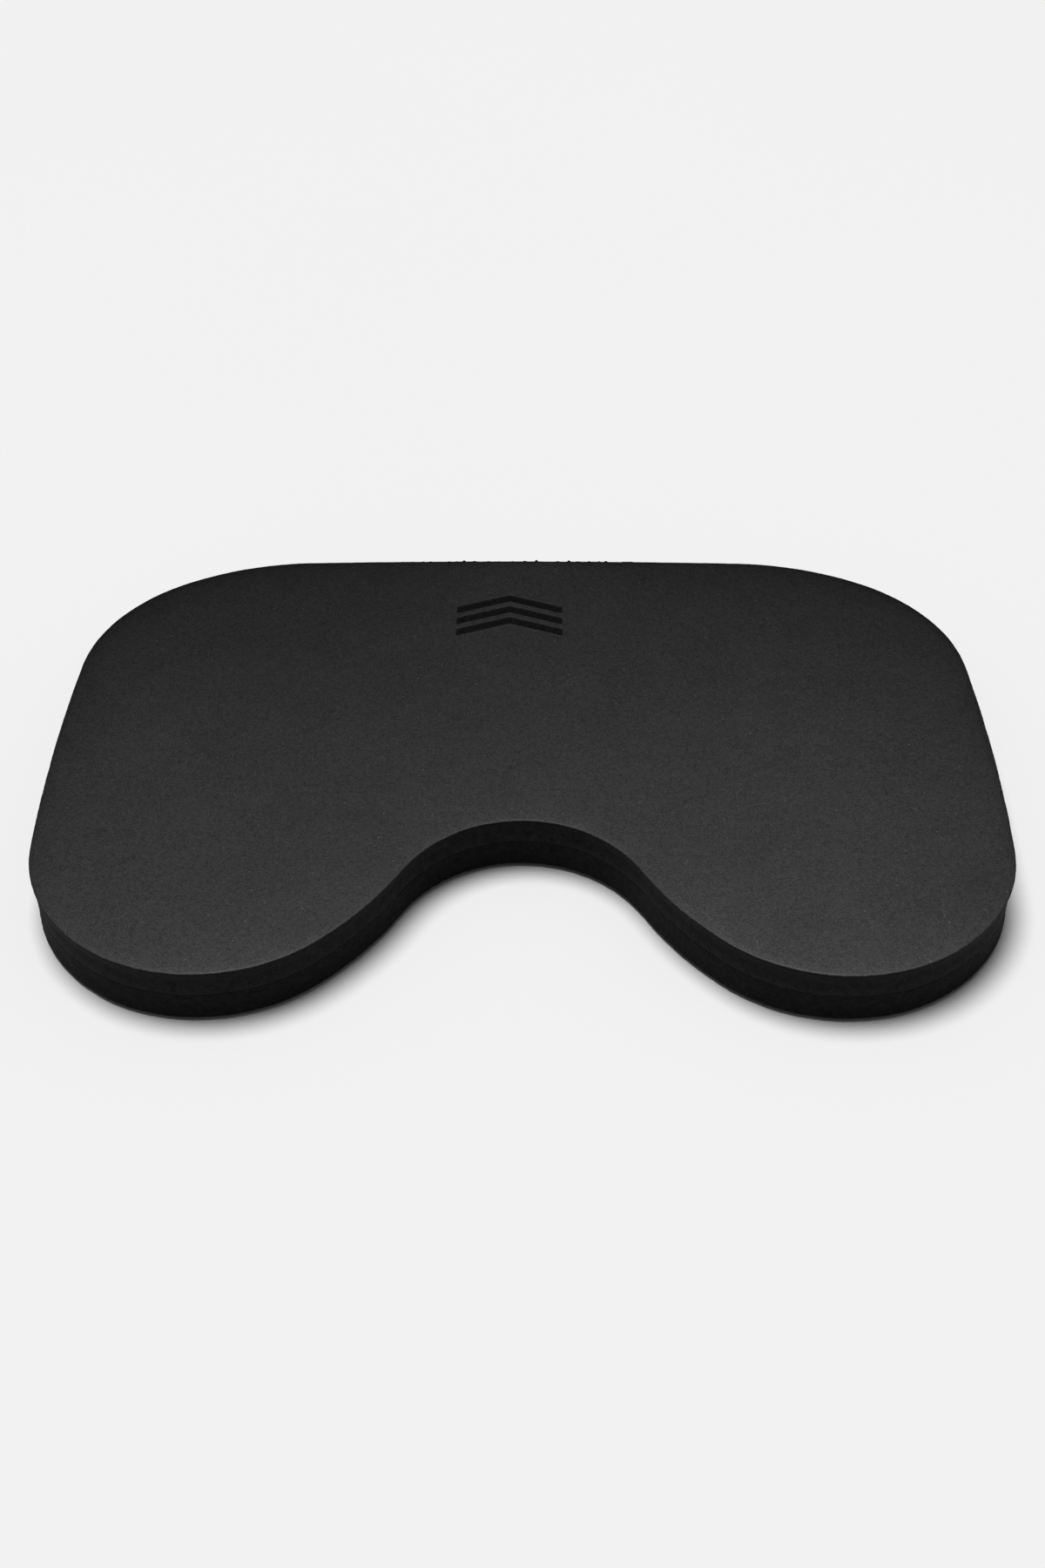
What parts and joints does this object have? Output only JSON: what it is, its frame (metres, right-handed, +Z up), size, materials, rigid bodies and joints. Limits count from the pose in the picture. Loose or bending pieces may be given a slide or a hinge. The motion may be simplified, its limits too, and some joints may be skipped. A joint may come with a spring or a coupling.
{
  "type": "rowing machine seat pad",
  "caption": "Flat black closed-cell foam seat pad for a rowing machine: one straight edge, two rounded lobes and a round tailbone notch between them, with loop tape underneath.",
  "frame": {"origin": "on the surface the loop tape strips stand on, under the middle of the outline", "axes": "+X to the sitter's right, +Y forward to the straight front edge (the notch faces -Y), +Z up through the pad"},
  "size_m": [0.3314, 0.2352, 0.0216],
  "materials": {
    "foam_skin": "matte",
    "foam_core": "matte",
    "contact_adhesive": "satin",
    "loop_pile": "matte",
    "tape_adhesive": "satin"
  },
  "bodies": {
    "root": {"cushion_layer": "foam_skin", "bond_film": "contact_adhesive", "base_layer": "foam_core", "loop_tape_front_left": "loop_pile", "loop_tape_front_right": "loop_pile", "loop_tape_rear_left": "loop_pile", "loop_tape_rear_right": "loop_pile", "tape_adhesive_front_left": "tape_adhesive", "tape_adhesive_front_right": "tape_adhesive", "tape_adhesive_rear_left": "tape_adhesive", "tape_adhesive_rear_right": "tape_adhesive"}
  },
  "joints": []
}
